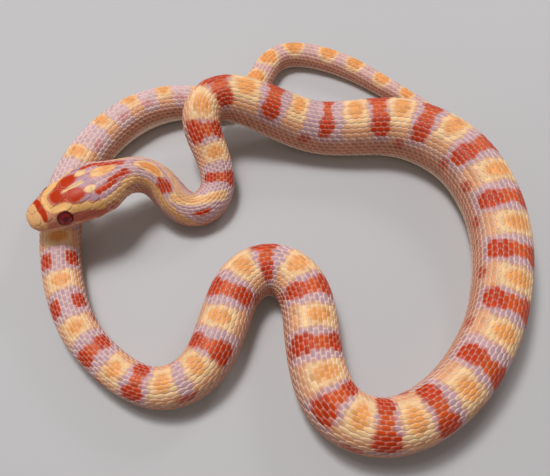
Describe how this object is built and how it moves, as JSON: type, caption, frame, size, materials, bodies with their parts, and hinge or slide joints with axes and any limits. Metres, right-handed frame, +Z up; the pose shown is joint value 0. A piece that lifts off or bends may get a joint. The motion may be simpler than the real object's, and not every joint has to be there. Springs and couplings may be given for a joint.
{
  "type": "corn snake",
  "caption": "Life-size still model of a young amelanistic corn snake in an open ring, head resting over its own hind body.",
  "frame": {"origin": "middle of the footprint, on the floor under the belly", "axes": "+Z up; +X to the right and +Y away as the picture shows the animal, with its snout towards -X"},
  "size_m": [0.0842, 0.0836, 0.0134],
  "materials": {
    "skin": "satin scales",
    "eye": "wet gloss"
  },
  "bodies": {
    "root": {"head": "skin", "lower_jaw": "skin", "eye_left": "eye", "eye_right": "eye", "neck_1": "skin", "neck_2": "skin", "neck_3": "skin", "neck_4": "skin", "neck_5": "skin", "trunk_1": "skin", "trunk_2": "skin", "trunk_3": "skin", "trunk_4": "skin", "trunk_5": "skin", "trunk_6": "skin", "trunk_7": "skin", "trunk_8": "skin", "trunk_9": "skin", "trunk_10": "skin", "trunk_11": "skin", "trunk_12": "skin", "trunk_13": "skin", "trunk_14": "skin", "trunk_15": "skin", "trunk_16": "skin", "trunk_17": "skin", "trunk_18": "skin", "tail_1": "skin", "tail_2": "skin", "tail_3": "skin"}
  },
  "joints": []
}
